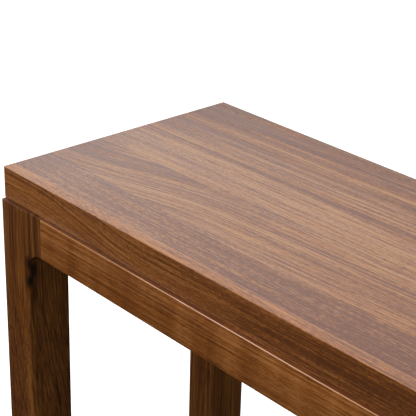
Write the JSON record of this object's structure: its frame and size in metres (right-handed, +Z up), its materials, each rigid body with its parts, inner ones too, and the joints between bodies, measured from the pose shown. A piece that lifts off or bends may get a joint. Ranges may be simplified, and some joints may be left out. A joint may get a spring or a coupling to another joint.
{
  "type": "console table",
  "caption": "Long narrow walnut console table: a thick slab top on square corner legs, with aprons and small coved knee blocks under it.",
  "frame": {"origin": "on the floor, under the middle of the table", "axes": "+Z up, +X along the table's length to the right seen from the front, +Y towards the back"},
  "size_m": [1.2, 0.412, 0.76],
  "materials": {
    "walnut_veneer": "straight-grained walnut leaves under a satin clear lacquer",
    "walnut_lipping": "solid walnut, grain along the piece, satin clear lacquer",
    "walnut_leg": "solid walnut, upright grain, satin clear lacquer",
    "walnut_apron": "solid walnut, grain along the piece, satin clear lacquer",
    "balancing_veneer": "plain walnut veneer, lightly sealed",
    "skin_board": "fibreboard, sanded",
    "core_timber": "planed softwood",
    "block_timber": "planed hardwood, sealed",
    "beech_dowel": "fluted beech",
    "zinc_steel": "zinc plated",
    "glide_plastic": "moulded, matte"
  },
  "bodies": {
    "root": {"top_veneer_leaf_1": "walnut_veneer", "top_veneer_leaf_2": "walnut_veneer", "top_veneer_leaf_3": "walnut_veneer", "top_veneer_leaf_4": "walnut_veneer", "top_veneer_leaf_5": "walnut_veneer", "edge_lipping_front": "walnut_lipping", "edge_lipping_back": "walnut_lipping", "edge_lipping_left": "walnut_lipping", "edge_lipping_right": "walnut_lipping", "balancing_veneer": "balancing_veneer", "top_skin": "skin_board", "bottom_skin": "skin_board", "core_rail_front": "core_timber", "core_rail_back": "core_timber", "core_rail_left": "core_timber", "core_rail_right": "core_timber", "core_rib_centre": "core_timber", "core_rib_left": "core_timber", "core_rib_right": "core_timber", "leg_front_left": "walnut_leg", "knee_block_front_left": "walnut_leg", "corner_block_front_left": "block_timber", "floor_glide_front_left": "glide_plastic", "leg_front_right": "walnut_leg", "knee_block_front_right": "walnut_leg", "corner_block_front_right": "block_timber", "floor_glide_front_right": "glide_plastic", "leg_back_left": "walnut_leg", "knee_block_back_left": "walnut_leg", "corner_block_back_left": "block_timber", "floor_glide_back_left": "glide_plastic", "leg_back_right": "walnut_leg", "knee_block_back_right": "walnut_leg", "corner_block_back_right": "block_timber", "floor_glide_back_right": "glide_plastic", "apron_front": "walnut_apron", "apron_back": "walnut_apron", "apron_left": "walnut_apron", "apron_right": "walnut_apron", "cross_rail": "block_timber", "leg_bolts": "zinc_steel", "leg_bolt_washers": "zinc_steel", "leg_bolt_nuts": "zinc_steel", "corner_block_screws": "zinc_steel", "cross_rail_screws": "zinc_steel", "glide_nails": "zinc_steel", "apron_dowels": "beech_dowel", "end_apron_dowels": "beech_dowel", "cross_rail_dowels": "beech_dowel"}
  },
  "joints": []
}
